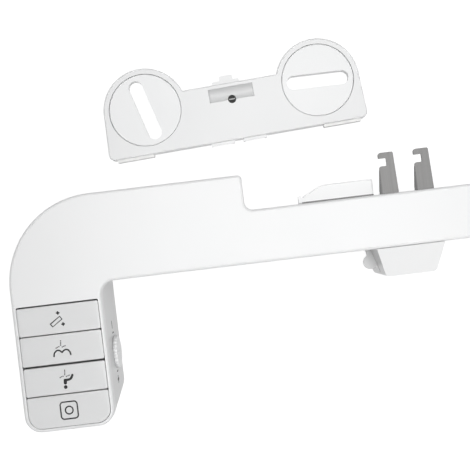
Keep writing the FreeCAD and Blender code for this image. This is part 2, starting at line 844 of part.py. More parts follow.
def nozzle_housing():
    shell = prism(housing_outline(0), -box_drop, 12).cut(above_slope(0))
    shell = shell.cut(box(-60, 60, front_y - shell_gap, 60, 0, 40))
    low_part = prism(housing_outline(housing_wall), -box_drop - 1, 0)
    roof = prism(housing_outline(housing_wall), -box_drop - 1, 12).cut(above_slope(housing_wall))
    roof = roof.cut(box(-60, 60, front_y - shell_gap - housing_wall, 60, -housing_wall, 40))
    low_part = low_part.cut(above_slope(housing_wall))
    shell = shell.cut(low_part).cut(roof)
    half = guard_half_width + 0.4
    opening_top = guard_top + guard_knuckle_r + 0.3
    gap_back = guard_pin_y() + guard_knuckle_r + 0.3
    front_gap = box(housing_x - half, housing_x + half, housing_front_y - 1, gap_back, -box_drop - 1, opening_top)
    shell = shell.cut(front_gap)
    neck = tab_neck / 2 + aim_travel + 0.5
    slot_front = tab_y - tab_r - aim_travel
    slot_low = bar_z - 0.3
    slot_high = bar_z + bar_thickness + 0.4
    slot = box(housing_x - 30, housing_x - 15, slot_front, tab_neck_y + neck, slot_low, slot_high)
    shell = shell.cut(slot)
    for side in (-1, 1):
        x = housing_x + side * ear_x
        wall_x = housing_x + side * (housing_half_back - 0.8)
        ear = disc(x, ear_y, -ear_thickness, 0, ear_r)
        ear = ear.fuse(box(min(x, wall_x), max(x, wall_x), ear_y - ear_r - 2, ear_y, -ear_thickness, 0))
        shell = shell.fuse(ear).cut(disc(x, ear_y, -9, 1, screw_r + 0.1))
        inner = housing_x + side * (housing_half_back - housing_wall + 0.3)
        edge = housing_x + side * (bar_half_width - 2.2)
        rail_front = bar_front_y - aim_travel - 0.5
        rail_back = bar_back_y + aim_travel + 0.5
        rail = box(min(inner, edge), max(inner, edge), rail_front, rail_back, bar_z - 2.0, bar_z)
        rail = rail.common(prism(housing_outline(housing_wall / 2), -box_drop, 0))
        shell = shell.fuse(rail)
        pin_start = V(housing_x + side * (half - 0.2), guard_pin_y(), guard_top)
        lug = rod(pin_start, pin_start + V(side * 2.2, 0, 0), guard_knuckle_r)
        shell = shell.fuse(lug.common(prism(housing_outline(0.2), -box_drop, 12)))
    pin_half = guard_half_width + 2.0
    shell = shell.cut(rod(V(housing_x - pin_half, guard_pin_y(), guard_top),
                          V(housing_x + pin_half, guard_pin_y(), guard_top), guard_pin_r))
    save("nozzle_housing", shell.removeSplitter())


def guard_pin_y():
    """The guard's hinge axis stands one knuckle radius behind the front face."""
    return housing_front_y + guard_knuckle_r


def housing_screws():
    screws = []
    for side in (-1, 1):
        x = housing_x + side * ear_x
        head = disc(x, ear_y, -ear_thickness - screw_head, -ear_thickness, screw_head_r)
        shank = disc(x, ear_y, -ear_thickness, 3.8, screw_r)
        screws.append(head.fuse(shank).cut(cross_slot(x, ear_y, -ear_thickness - screw_head)))
    save("housing_screws", *screws)


def nozzle_guard():
    bottom = -box_drop + guard_bottom_gap
    plate = box(housing_x - guard_half_width, housing_x + guard_half_width, housing_front_y,
                housing_front_y + guard_thickness, bottom, guard_top)
    barrel = rod(V(housing_x - guard_half_width, guard_pin_y(), guard_top),
                 V(housing_x + guard_half_width, guard_pin_y(), guard_top), guard_knuckle_r)
    grip_front = housing_front_y - 1.2
    grip = block(housing_x - 6, housing_x + 6, grip_front, housing_front_y + 0.5, bottom, bottom + 3, 0.5)
    plate = plate.fuse(barrel).fuse(grip)
    bore_start = V(housing_x - 20, guard_pin_y(), guard_top)
    plate = plate.cut(rod(bore_start, bore_start + V(40, 0, 0), guard_pin_r + pin_gap))
    save("nozzle_guard", plate.removeSplitter())
    half = guard_half_width + 2.0
    save("guard_pin", rod(V(housing_x - half, guard_pin_y(), guard_top),
                          V(housing_x + half, guard_pin_y(), guard_top), guard_pin_r))


def nozzle_distributor():
    """Bridge under the slab that takes the three hoses and feeds the two nozzle sleeves."""
    top = hose_z - hose_bend - hose_tail
    half = spigot_x + port_r
    front = hose_first_y - hose_r - 0.9
    back = housing_back_y - housing_wall - 0.3
    body = box(housing_x - half, housing_x + half, front, back, top - 4.2, top)
    leg_front = back - 3.2
    for side in (-1, 1):
        x = housing_x + side * spigot_x
        body = body.fuse(box(x - port_r, x + port_r, leg_front, back, spigot_z - port_r, top - 4))
        body = body.fuse(rod(V(x, leg_front + 0.5, spigot_z), V(x, leg_front - 7.5, spigot_z), spigot_r))
        body = body.cut(rod(V(x, back - 1.5, spigot_z), V(x, leg_front - 8, spigot_z), 1.0))
    for i in range(3):
        y = hose_first_y + i * hose_pitch
        body = body.cut(disc(hose_drop_x, y, top - hose_socket, top + 1, hose_r))
        body = body.cut(disc(hose_drop_x, y, top - hose_socket - 1.2, top, hose_bore_r))
    save("nozzle_distributor", body.removeSplitter())


def along_nozzle(x, distance):
    """Point on a nozzle's axis, so far from the sleeve's top."""
    return V(x, sleeve_top_y, sleeve_top_z) + nozzle_axis * distance


def nozzle_cradle():
    """Two sleeves on a cross bar, with the round aiming tab outside the housing."""
    xs = [housing_x - nozzle_half_pitch, housing_x + nozzle_half_pitch]
    bar_left = housing_x - bar_half_width
    bar_top = bar_z + bar_thickness
    body = box(bar_left, housing_x + bar_half_width, bar_front_y, bar_back_y, bar_z, bar_top)
    for x in xs:
        body = body.fuse(rod(along_nozzle(x, 0), along_nozzle(x, sleeve_length), sleeve_r))
    leg_front = housing_back_y - housing_wall - 3.5
    for side in (-1, 1):
        x = housing_x + side * spigot_x
        port_back = leg_front - aim_travel - 0.3
        body = body.fuse(rod(V(x, port_back, spigot_z), V(x, port_back - 9.5, spigot_z), port_r))
        web_x = housing_x + side * (nozzle_half_pitch + sleeve_r - 1.5)
        web_front = port_back - 9.0
        web_back = port_back - 5.0
        web = box(min(x, web_x), max(x, web_x), web_front, web_back, spigot_z - 2, spigot_z + 1.5)
        body = body.fuse(web).fuse(box(x - 1.2, x + 1.2, web_front, web_back, bar_z + 1, spigot_z))
        mouth = V(x, port_back + 1, spigot_z)
        body = body.cut(rod(mouth, mouth - V(0, 9.3, 0), spigot_r + spigot_gap))
    for x in xs:
        end = along_nozzle(x, sleeve_length + 1)
        body = body.cut(rod(along_nozzle(x, sleeve_cap), end, nozzle_r + nozzle_gap))
    half = tab_neck / 2
    neck_back = tab_neck_y + half
    body = body.fuse(box(tab_x, bar_left + 1, tab_neck_y - half, neck_back, bar_z, bar_top))
    body = body.fuse(box(tab_x - half, tab_x + half, tab_y, neck_back, bar_z, bar_top))
    body = body.fuse(disc(tab_x, tab_y, bar_z, bar_top, tab_r))
    save("nozzle_cradle", body.removeSplitter())


def nozzle(name, x, holes):
    """Hollow telescoping tube with spray holes near its closed tip."""
    start = along_nozzle(x, sleeve_cap + 0.3)
    end = along_nozzle(x, sleeve_cap + nozzle_length)
    tube = rod(start, end, nozzle_r)
    tip = [e for e in tube.Edges if all((v.Point - end).Length < nozzle_r + 0.1 for v in e.Vertexes)]
    tube = tube.makeFillet(1.6, tip)
    tube = tube.cut(rod(start - nozzle_axis, end - nozzle_axis * 3, 2.2))
    sideways = V(0, -math.cos(tilt), math.sin(tilt))
    for dx, step in holes:
        centre = end - nozzle_axis * (4.5 + step) + V(dx, 0, 0)
        tube = tube.cut(rod(centre, centre + sideways * 6, 0.35))
    save(name, tube)


# ---- hooks ----------------------------------------------------------------------------------------------
def hook(name, x):
    """Flat steel hook with a notch open to the left and a small stiffening flange."""
    def at(y):
        return back_y + y

    left = x - hook_base_half
    right = x + hook_base_half
    tip_left = x - hook_notch_depth
    points = [
        (left, at(-hook_inside), 1.0), (right, at(-hook_inside), 1.0), (right, at(0), 0),
        (right - 1.1, at(hook_reach), 1.2), (tip_left, at(hook_reach), 2.0),
        (tip_left, at(hook_notch_end), 0.6),
        (tip_left + hook_notch_depth + 0.4, at(hook_notch_end), 0.5),
        (tip_left + hook_notch_depth + 0.4, at(hook_notch_start), 0.5),
        (left + 2.0, at(hook_notch_start), 1.5), (left, at(0), 0),
    ]
    plate = prism(points, hook_z, hook_z + hook_plate)
    flange = prism([(left + 0.3, at(2), 0), (left + 0.3 + hook_flange, at(2), 0),
                    (left + 1.8 + hook_flange, at(16.5), 0),
                    (left + 1.8, at(16.5), 0)], hook_z - hook_flange, hook_z + 0.2)
    y = back_y - hook_inside / 2 - 1
    plate = plate.fuse(flange).cut(disc(x, y, 0, 9, screw_r + 0.1))
    save("hook_" + name, plate.removeSplitter())


def hook_screws():
    screws = []
    for x in hook_xs.values():
        y = back_y - hook_inside / 2 - 1
        head = disc(x, y, hook_z + hook_plate, hook_z + hook_plate + screw_head, screw_head_r)
        screws.append(head.fuse(disc(x, y, 0.9, hook_z + hook_plate, screw_r)))
    save("hook_screws", *screws)


# ---- bracket, in its own frame: u along it, v to the back, w up from its underside -----------------------
def place(shape):
    """Lay a bracket piece on the surface the unit stands on, at its own spot and turn."""
    laid = shape.copy()
    laid.rotate(V(0, 0, 0), V(0, 0, 1), bracket_turn)
    laid.translate(V(bracket_x, bracket_y, -box_drop))
    return laid


def bracket_solid(w0, w1):
    """Upright solid with the bracket's outline: two round ears, a straight front and a low back edge."""
    half = disc_half_spacing
    r = ear_outer_r
    meet = half - math.sqrt(r * r - bracket_back_v * bracket_back_v)
    front = bracket_front_v
    corner = bracket_end_corner
    end = bracket_end_u
    core = prism([(-end, front, corner), (end, front, corner), (half + r, 0, 0), (-half - r, 0, 0)], w0, w1)
    middle = box(-meet, meet, front + 1, bracket_back_v, w0, w1)
    ears = disc(-half, 0, w0, w1, r).fuse(disc(half, 0, w0, w1, r))
    return core.fuse(ears).fuse(middle).removeSplitter()


def bracket_cavity(w0, w1, inset=0.0):
    """Hollow between the two discs where the hooks and the release slider go."""
    half = bracket_cavity_half - inset
    front = bracket_front_v + bracket_wall + inset
    back = bracket_back_v - bracket_wall - inset
    hollow = box(-half, half, front, back, w0, w1)
    keep_r = disc_flange_r + disc_gap + bracket_wall + inset
    for side in (-1, 1):
        hollow = hollow.cut(disc(side * disc_half_spacing, 0, w0 - 1, w1 + 1, keep_r))
    return hollow


def hook_mouths(w0, w1):
    """The two openings in the front edge that the hooks enter."""
    front = bracket_front_v - mouth_lip - 1
    back = bracket_front_v + bracket_wall + 1
    mouths = [box(x - mouth_half, x + mouth_half, front, back, w0, w1) for x in hook_xs.values()]
    return mouths[0].fuse(mouths[1])


def bracket_shell():
    shell = round_edges(bracket_solid(bracket_floor, bracket_height), bracket_height, 1.0)
    for side in (-1, 1):
        u = side * disc_half_spacing
        flange_room = disc_flange_top + disc_seat_gap
        shell = shell.cut(disc(u, 0, bracket_floor - 1, flange_room, disc_flange_r + disc_gap))
        shell = shell.cut(disc(u, 0, bracket_floor, bracket_height + 1, disc_r + disc_gap))
    shell = shell.cut(bracket_cavity(bracket_floor - 1, bracket_height - bracket_wall))
    mouth_top = hook_z + hook_plate + 1.0
    lip_front = bracket_front_v - mouth_lip
    lip_back = bracket_front_v + 1.5
    for x in hook_xs.values():
        half = mouth_half + mouth_lip_wall
        lip = block(x - half, x + half, lip_front, lip_back, bracket_floor, mouth_top + 1.2, 0.7)
        shell = shell.fuse(lip)
    shell = shell.cut(hook_mouths(bracket_floor - 1, mouth_top))
    patch_low = bracket_height - patch_depth
    patch = block(-patch_half, patch_half, patch_front_v, patch_back_v, patch_low, bracket_height + 1, 1.0)
    shell = shell.cut(patch)
    shell = shell.cut(disc(0, centre_screw_v, bracket_floor - 1, bracket_height + 1, centre_screw_r + 0.1))
    shell = shell.cut(disc(0, centre_screw_v, bracket_height - 1.0, bracket_height + 1, centre_head_r + 0.1))
    left = slider_back_left - release_travel - release_slot_gap
    right = slider_back_right + release_slot_gap
    slot_low = slider_z - release_slot_gap
    slot_high = slider_top + release_slot_gap
    inside = bracket_back_v - bracket_wall - 1
    shell = shell.cut(box(left, right, inside, bracket_back_v + 1, slot_low, slot_high))
    save("bracket_shell", place(shell.removeSplitter()))


def bracket_base():
    plate = bracket_solid(0, bracket_floor)
    for side in (-1, 1):
        plate = plate.cut(disc(side * disc_half_spacing, 0, -1, bracket_floor + 1, floor_opening_r))
    post_top = bracket_height - bracket_wall
    plate = plate.fuse(disc(0, centre_screw_v, bracket_floor - 0.3, post_top, centre_head_r))
    plate = plate.cut(disc(0, centre_screw_v, 0.4, bracket_height, centre_screw_r))
    save("bracket_base", place(plate.removeSplitter()))


def bracket_pads():
    pads = []
    front = bracket_front_v - pad_strip_out
    high = bracket_height - 1.5
    for side in (-1, 1):
        inner = min(side * pad_strip_inner, side * pad_strip_outer)
        outer = max(side * pad_strip_inner, side * pad_strip_outer)
        pads.append(place(block(inner, outer, front, bracket_front_v, 1.5, high, 0.6)))
    save("bracket_pads", *pads)


def centre_screw():
    head = disc(0, centre_screw_v, bracket_height - 1.0, bracket_height, centre_head_r)
    screw = head.fuse(disc(0, centre_screw_v, 0.6, bracket_height - 1.0, centre_screw_r))
    slot_low = bracket_height - 0.5
    screw = screw.cut(box(-2.2, 2.2, centre_screw_v - 0.4, centre_screw_v + 0.4, slot_low, bracket_height + 1))
    save("centre_screw", place(screw))


def slotted_disc(name, side, slot_turn):
    """Turning disc with a low flange all round and a straight slot for the seat bolt."""
    u = side * disc_half_spacing
    low = bracket_floor + disc_seat_gap
    body = disc(u, 0, low, disc_flange_top, disc_flange_r).fuse(disc(u, 0, low, disc_top, disc_r))
    body = round_edges(body, disc_top, 0.6)
    half = slot_length / 2 - 0.01
    slot = block(u - half, u + half, -slot_width / 2, slot_width / 2, 0, 12, slot_width / 2 - 0.01)
    slot.rotate(V(u, 0, 0), V(0, 0, 1), slot_turn - bracket_turn)
    save(name, place(body.cut(slot).removeSplitter()))


def slider_teeth_u():
    """Left edge of each tooth, so that it stands in its hook's notch when the bracket is docked."""
    return [x - hook_notch_depth + 0.3 for x in hook_xs.values()]


def release_slider():
    """Plate that slides along the bracket; its teeth lock the hooks and its thumb piece shows at the back."""
    docked_v = back_y - bracket_front_v
    tooth_front = back_y + hook_notch_start + 0.4 - docked_v
    tooth_back = back_y + hook_notch_end - 0.4 - docked_v
    lefts = slider_teeth_u()
    bar = box(lefts[0], lefts[1] + tooth_width, tooth_front, tooth_back + 1, slider_z, slider_top)
    stem_back = bracket_back_v + 0.6
    wall_inside = bracket_back_v - bracket_wall
    grip_low = slider_z - 2.0
    grip_top = slider_top + 0.8
    stem = box(slider_back_left, lefts[1] + tooth_width, tooth_back, wall_inside - 0.4, slider_z, slider_top)
    strip = box(slider_back_left, slider_back_right, wall_inside - 1, stem_back, slider_z, slider_top)
    grip = block(slider_back_left, slider_back_right, stem_back - 0.5, strip_v, grip_low, grip_top, 0.8)
    thumb = block(thumb_left, thumb_right, strip_v - 1, thumb_v, grip_low, grip_top, 1.1)
    body = bar.fuse(stem).fuse(strip).fuse(grip).fuse(thumb)
    for left in lefts:
        body = body.fuse(box(left, left + tooth_width, tooth_front, tooth_back, tooth_bottom, slider_z + 0.2))
    clear = centre_head_r + 0.4
    screw_room = box(-clear, clear + release_travel, centre_screw_v - clear, centre_screw_v + clear, 0, 12)
    body = body.cut(screw_room)
    save("release_slider", place(body.removeSplitter()))


def release_spring():
    """Spring between the slider's left end and the wall of the hollow."""
    start = -bracket_cavity_half + 1.2
    end = slider_teeth_u()[0]
    v = back_y + (hook_notch_start + hook_notch_end) / 2 - (back_y - bracket_front_v)
    coil = spring(release_spring_r, release_spring_wire_r, end - start, release_spring_turns)
    coil.rotate(V(0, 0, 0), V(0, 1, 0), 90)
    coil.translate(V(start, v, slider_top - release_spring_r - release_spring_wire_r))
    save("release_spring", place(coil))


os.makedirs("parts", exist_ok=True)
top_cover()
base_plate()
control_box()
rim_pad()
case_screws()
for number in range(4):
    key(number)
    plunger(number)
    key_spring(number)
key_frame()
latch_plate()
latch_spring()
valve_body()
valve_seals()
flow_valve()
link_pipe()
feed_pipe()
inlet_spigot()
pressure_dial()
hoses()
nozzle_housing()
housing_screws()
nozzle_guard()
nozzle_distributor()
nozzle_cradle()
nozzle("nozzle_rear", housing_x - nozzle_half_pitch, [(0, 0), (0, 2.0)])
nozzle("nozzle_front", housing_x + nozzle_half_pitch, [(-1.0, 0), (1.0, 0), (0, 1.6), (0, -1.2)])
for side_name, hook_x in hook_xs.items():
    hook(side_name, hook_x)
hook_screws()
bracket_shell()
bracket_base()
bracket_pads()
centre_screw()
slotted_disc("disc_left", -1, slot_turn_left)
slotted_disc("disc_right", 1, slot_turn_right)
release_slider()
release_spring()
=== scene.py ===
"""Looks of the water-powered bidet attachment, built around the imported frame."""
import json
import math

import bmesh
import bpy
import numpy as np
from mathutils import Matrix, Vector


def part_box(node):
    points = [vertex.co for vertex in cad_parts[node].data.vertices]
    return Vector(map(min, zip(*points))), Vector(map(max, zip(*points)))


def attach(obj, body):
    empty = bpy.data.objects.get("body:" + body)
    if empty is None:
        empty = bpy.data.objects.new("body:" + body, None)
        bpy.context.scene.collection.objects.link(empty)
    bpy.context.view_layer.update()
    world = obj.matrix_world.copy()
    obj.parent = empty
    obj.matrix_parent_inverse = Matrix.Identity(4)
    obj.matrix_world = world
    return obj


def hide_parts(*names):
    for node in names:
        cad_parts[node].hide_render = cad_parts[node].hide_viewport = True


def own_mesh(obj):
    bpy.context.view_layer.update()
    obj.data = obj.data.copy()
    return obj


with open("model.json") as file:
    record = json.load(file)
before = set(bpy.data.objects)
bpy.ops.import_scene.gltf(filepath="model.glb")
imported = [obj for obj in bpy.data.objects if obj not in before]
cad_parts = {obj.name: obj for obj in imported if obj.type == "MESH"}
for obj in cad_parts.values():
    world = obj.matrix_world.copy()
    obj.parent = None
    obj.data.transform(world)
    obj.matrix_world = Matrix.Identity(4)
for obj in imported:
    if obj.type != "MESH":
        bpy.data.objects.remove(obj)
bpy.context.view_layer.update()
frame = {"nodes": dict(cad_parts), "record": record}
nodes = frame["nodes"]
MM = 0.001
QUARTER = 0.5 * math.pi
CIRCLE = 2 * math.pi


def middle_of(low, high):
    """Centre of a box, as x, y and z."""
    return (low.x + high.x) / 2, (low.y + high.y) / 2, (low.z + high.z) / 2


def mm(*points):
    """Rows of points given in millimetres, as an array in metres."""
    return np.array(points, dtype=float) * MM


def unit_rows(vectors):
    """Each row divided by its own length."""
    return vectors / np.linalg.norm(vectors, axis=1)[:, None]


# ---- shader maths ------------------------------------------------------------------------
# width and fall-off of the painted shade band along the hooks' left edges
EDGE_SHADE_WIDTH = 1.5 * MM
EDGE_SHADE_SLOPE = 1.6


class Wire:
    """A shader socket that can be used in a Python expression."""

    def __init__(self, shader, socket):
        self.shader = shader
        self.socket = socket

    def _math(self, operation, a, b=None):
        inputs = [a] if b is None else [a, b]
        settings = {"operation": operation}
        return self.shader.node("ShaderNodeMath", settings, dict(enumerate(inputs)))

    def __abs__(self):
        return self._math("ABSOLUTE", self)

    def __add__(self, other):
        return self._math("ADD", self, other)

    def __sub__(self, other):
        return self._math("SUBTRACT", self, other)

    def __mul__(self, other):
        return self._math("MULTIPLY", self, other)

    def __rsub__(self, other):
        return self._math("SUBTRACT", other, self)

    __radd__ = __add__
    __rmul__ = __mul__

    def clamp(self):
        """The value held between 0 and 1."""
        return self.shader.node("ShaderNodeClamp", {}, {"Value": self})


class Finish:
    """A material whose nodes are made by one method."""

    def __init__(self, name, **constants):
        self.material = bpy.data.materials.new(name)
        self.material.use_nodes = True
        self.tree = self.material.node_tree
        self.surface = self.tree.nodes["Principled BSDF"]
        for socket, value in constants.items():
            self.surface.inputs[socket.replace("_", " ")].default_value = value

    def node(self, kind, settings, inputs, output=0):
        """Make a node: its settings first, then the values or links of its sockets."""
        made = self.tree.nodes.new(kind)
        for key, value in settings.items():
            setattr(made, key, value)
        for key, value in inputs.items():
            socket = made.inputs[key]
            if isinstance(value, Wire):
                self.tree.links.new(value.socket, socket)
            else:
                socket.default_value = value
        return Wire(self, made.outputs[output])

    def where(self):
        """Object coordinates."""
        return self.node("ShaderNodeTexCoord", {}, {}, "Object")

    def noise(self, size, stretch=(1.0, 1.0, 1.0), detail=3.0, rough=0.55):
        """Cloudy value round 0.5, with features of one size in metres; a stretch under 1 draws
        them out along that axis."""
        place = self.node("ShaderNodeMapping", {}, {"Vector": self.where(), "Scale": stretch})
        inputs = {"Vector": place, "Scale": 1.0 / size, "Detail": detail, "Roughness": rough}
        return self.node("ShaderNodeTexNoise", {}, inputs, "Fac")

    def mix(self, mask, low, high):
        """Colour that goes from low to high with the mask."""
        return self.node("ShaderNodeMix", {"data_type": "RGBA"}, {0: mask, 6: low, 7: high}, 2)

    def shade_bands(self, places):
        """Mask of painted shade: 1 on a narrow soft band to the right of each place along X, and 0
        elsewhere.
        """
        across = self.node("ShaderNodeSeparateXYZ", {}, {"Vector": self.where()}, "X")
        total = 0.0
        for place in places:
            off = abs(across - (place + EDGE_SHADE_WIDTH / 2))
            total = (EDGE_SHADE_SLOPE - off * (EDGE_SHADE_SLOPE / EDGE_SHADE_WIDTH)).clamp() + total
        return total.clamp()

    def set(self, socket, value):
        """Feed one socket of the surface."""
        self.tree.links.new(value.socket, self.surface.inputs[socket])

    def bump(self, height, strength, distance):
        """Turn a height, in shares of the distance, into the surface's normal."""
        inputs = {"Height": height, "Strength": strength, "Distance": distance}
        self.set("Normal", self.node("ShaderNodeBump", {}, inputs))


def grey(value, tint=(1.0, 1.0, 1.0)):
    """Opaque colour of one brightness with a slight tint."""
    return (value * tint[0], value * tint[1], value * tint[2], 1.0)


# ---- finishes ----------------------------------------------------------------------------
COOL = (0.985, 0.995, 1.0)
WARM = (1.0, 0.99, 0.975)
CREAM = (1.0, 1.0, 0.98)
WAXY = (1.0, 1.0, 0.97)


def moulded_white(name, bright, roughness, orange_peel=0.04):
    """Glossy white moulded plastic: faint clouding, uneven gloss and a very fine orange peel."""
    finish = Finish(name, IOR=1.49)
    cloud = finish.noise(0.09, detail=2.0)
    tone = finish.mix(cloud, grey(bright - 0.012, COOL), grey(bright + 0.008))
    finish.set("Base Color", tone)
    finish.set("Roughness", finish.noise(0.03, detail=4.0) * 0.10 + (roughness - 0.05))
    peel = finish.noise(0.0016, detail=2.0) + finish.noise(0.011, detail=1.0) * 1.5
    finish.bump(peel, orange_peel, 0.0002)
    return finish.material


def brushed_steel(name, bright, along, edges=()):
    """Steel with fine scratches and broader lines drawn out along one axis, and a cloudy gloss.

    Each edge is the place of a hook's left edge along X, where a narrow dark band is painted on
    the steel as shade.
    """
    finish = Finish(name, Metallic=1.0)
    stretch = tuple(0.02 if axis == along else 1.0 for axis in range(3))
    fine = finish.noise(0.00035, stretch, detail=5.0, rough=0.7)
    broad = finish.noise(0.0022, stretch, detail=3.0)
    cloud = finish.noise(0.014, detail=3.0)
    tone = (fine * 0.55 + broad * 0.3 + cloud * 0.3 - 0.1).clamp()
    # painted shade: the steel is darkened in a narrow band along each hook's left edge
    if edges:
        tone = tone * (1.0 - finish.shade_bands(edges) * 0.85)
    finish.set("Base Color", finish.mix(tone, grey(bright * 0.45), grey(bright * 1.2, WARM)))
    finish.set("Roughness", fine * 0.2 + cloud * 0.12 + 0.42)
    finish.bump(fine * 0.7 + broad * 0.5, 0.35, 0.00006)
    return finish.material


def soft_rubber(name, bright):
    """Matt rubber with a dusty tone and a fine grain."""
    finish = Finish(name, IOR=1.5)
    dust = finish.noise(0.006, detail=4.0)
    finish.set("Base Color", finish.mix(dust, grey(bright * 0.85), grey(bright * 1.2, CREAM)))
    finish.set("Roughness", dust * 0.2 + 0.62)
    finish.bump(finish.noise(0.0006, detail=3.0), 0.3, 0.0001)
    return finish.material


def natural_acetal(name, bright):
    """Unpainted engineering plastic: waxy, slightly mottled."""
    finish = Finish(name, IOR=1.48)
    mottle = finish.noise(0.008, detail=4.0)
    finish.set("Base Color", finish.mix(mottle, grey(bright * 0.94, WAXY), grey(bright * 1.04)))
    finish.set("Roughness", mottle * 0.15 + 0.4)
    finish.bump(finish.noise(0.001, detail=3.0), 0.12, 0.0001)
    return finish.material


def printed_ink(name):
    """Pad-printed ink: nearly black, slightly uneven in cover and gloss."""
    finish = Finish(name, IOR=1.45)
    cover = finish.noise(0.0012, detail=4.0)
    finish.set("Base Color", finish.mix(cover, grey(0.010), grey(0.035)))
    finish.set("Roughness", cover * 0.2 + 0.35)
    finish.bump(cover, 0.1, 0.00005)
    return finish.material


# left edges of the hooks, where the steel gets a painted shade band
HOOK_SHADE_EDGES = [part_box(name)[0].x for name in ("hook_left", "hook_right")]
FINISHES = {
    "shell": moulded_white("glossy_white_shell", 0.83, 0.32),
    "keys": moulded_white("glossy_white_keys", 0.715, 0.25),
    # the box is white plastic like the shell; its lower brightness is painted shade for its shaded
    # walls
    "box": moulded_white("glossy_white_box_painted_shade", 0.76, 0.36),
    "disc": moulded_white("satin_white_disc", 0.88, 0.34, orange_peel=0.06),
    "dial": moulded_white("satin_grey_dial", 0.90, 0.34, orange_peel=0.06),
    "inner": natural_acetal("natural_acetal", 0.35),
    "steel": brushed_steel("brushed_steel", 0.29, 1, HOOK_SHADE_EDGES),
    "spring_steel": brushed_steel("drawn_spring_wire", 0.5, 2),
    "rubber": soft_rubber("pale_rubber", 0.62),
    "hose": soft_rubber("milky_silicone", 0.6),
}
INK = printed_ink("printed_ink")
# dark strip that paints the slab's cast shadow on the tongue
PAINTED_SHADOW = soft_rubber("painted_slab_shadow", 0.30)
OWN_FINISH = {
    "bracket_pads": soft_rubber("white_rubber", 0.88),
    "centre_screw": soft_rubber("black_oxide", 0.03),
    # the cradle is white plastic, darkened here as painted shade of its side-facing surfaces
    "nozzle_cradle": moulded_white("white_cradle_painted_shade", 0.60, 0.38),
}

for part in frame["record"]["subparts"]:
    cad = nodes[part["node"]]
    cad.data.materials.clear()
    cad.data.materials.append(OWN_FINISH.get(part["node"], FINISHES[part["material_slot"]]))


# ---- surfaces worked out on a grid -------------------------------------------------------
DOUBLE = 1e-7


def add_piece(name, points, finish, body, open_ends=False):
    """A grid of points, rows by columns, as a smooth mesh; each row closes on itself.

    The first and the last row get a flat cap, or none with open ends: there each of the two is
    either drawn together in one point, or the same row as the other, so the mesh closes anyway.
    """
    rows, columns = points.shape[:2]
    index = np.arange(rows * columns).reshape(rows, columns)
    low, high = index[:-1], index[1:]
    quads = np.stack([low, np.roll(low, -1, 1), np.roll(high, -1, 1), high], axis=-1)
    faces = quads.reshape(-1, 4).tolist()
    if not open_ends:
        faces += [index[0, ::-1].tolist(), index[-1].tolist()]
    mesh = bpy.data.meshes.new(name)
    mesh.from_pydata(points.reshape(-1, 3).tolist(), [], faces)
    work = bmesh.new()
    work.from_mesh(mesh)
    bmesh.ops.remove_doubles(work, verts=work.verts, dist=DOUBLE)
    bmesh.ops.dissolve_degenerate(work, edges=work.edges, dist=DOUBLE)
    bmesh.ops.recalc_face_normals(work, faces=work.faces)
    work.to_mesh(mesh)
    work.free()
    mesh.shade_smooth()
    mesh.materials.append(finish)
    piece = bpy.data.objects.new(name, mesh)
    bpy.context.scene.collection.objects.link(piece)
    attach(piece, body)
    return piece


# ---- key caps ----------------------------------------------------------------------------
KEY_EDGE = 0.5 * MM
KEY_DISH = 0.30 * MM
KEY_WALL = 1.4 * MM
KEY_TOP = 2.0 * MM
KEY_CORNER = 1.2 * MM
FRONT_CORNER = 9.2 * MM
KEYS = ("clean", "front", "rear", "off")
ARC_POINTS = 9
STRAIGHT_STEPS = 16
SMALLEST_ARC = 0.05 * MM
TOP_RINGS = 13
ROLL_RINGS = 6


def key_outline(low, high, front_corner, inset):
    """Closed outline of a key: four arcs joined by straights that are cut into equal steps.

    An arc's point is its centre plus its radius, less the inset, times (cos, sin) of the angle.
    Where the inset is larger than the radius, a tiny arc moves inwards instead.
    """
    corners = [(high.x, high.y, KEY_CORNER, 0.0), (low.x, high.y, KEY_CORNER, QUARTER),
               (low.x, low.y, front_corner, math.pi), (high.x, low.y, front_corner, 3 * QUARTER)]
    middle_x, middle_y, _ = middle_of(low, high)
    sweep = np.linspace(0.0, QUARTER, ARC_POINTS)
    arcs = []
    for x, y, radius, start in corners:
        sign = np.array([math.copysign(1, x - middle_x), math.copysign(1, y - middle_y)])
        reach = max(radius - inset, SMALLEST_ARC)
        centre = np.array([x, y]) - sign * radius + sign * ((radius - inset) - reach)
        turn = start + sweep
        arcs.append(centre + reach * np.stack([np.cos(turn), np.sin(turn)], axis=1))
    steps = np.linspace(0.0, 1.0, STRAIGHT_STEPS + 1)[1:-1, None]
    outline = []
    for arc, following in zip(arcs, arcs[1:] + arcs[:1]):
        outline += [arc, arc[-1] + (following[0] - arc[-1]) * steps]
    return np.concatenate(outline)


def key_top_height(low, high, x, y):
    """Height of the shallow dish: the top less its depth times (1 - u^2)(1 - v^2), where u and v
    run from -1 to 1 across and along the key."""
    middle_x, middle_y, _ = middle_of(low, high)
    u = (x - middle_x) / ((high.x - low.x) / 2)
    v = (y - middle_y) / ((high.y - low.y) / 2)
    return high.z - KEY_DISH * np.clip(1 - u * u, 0, 1) * np.clip(1 - v * v, 0, 1)


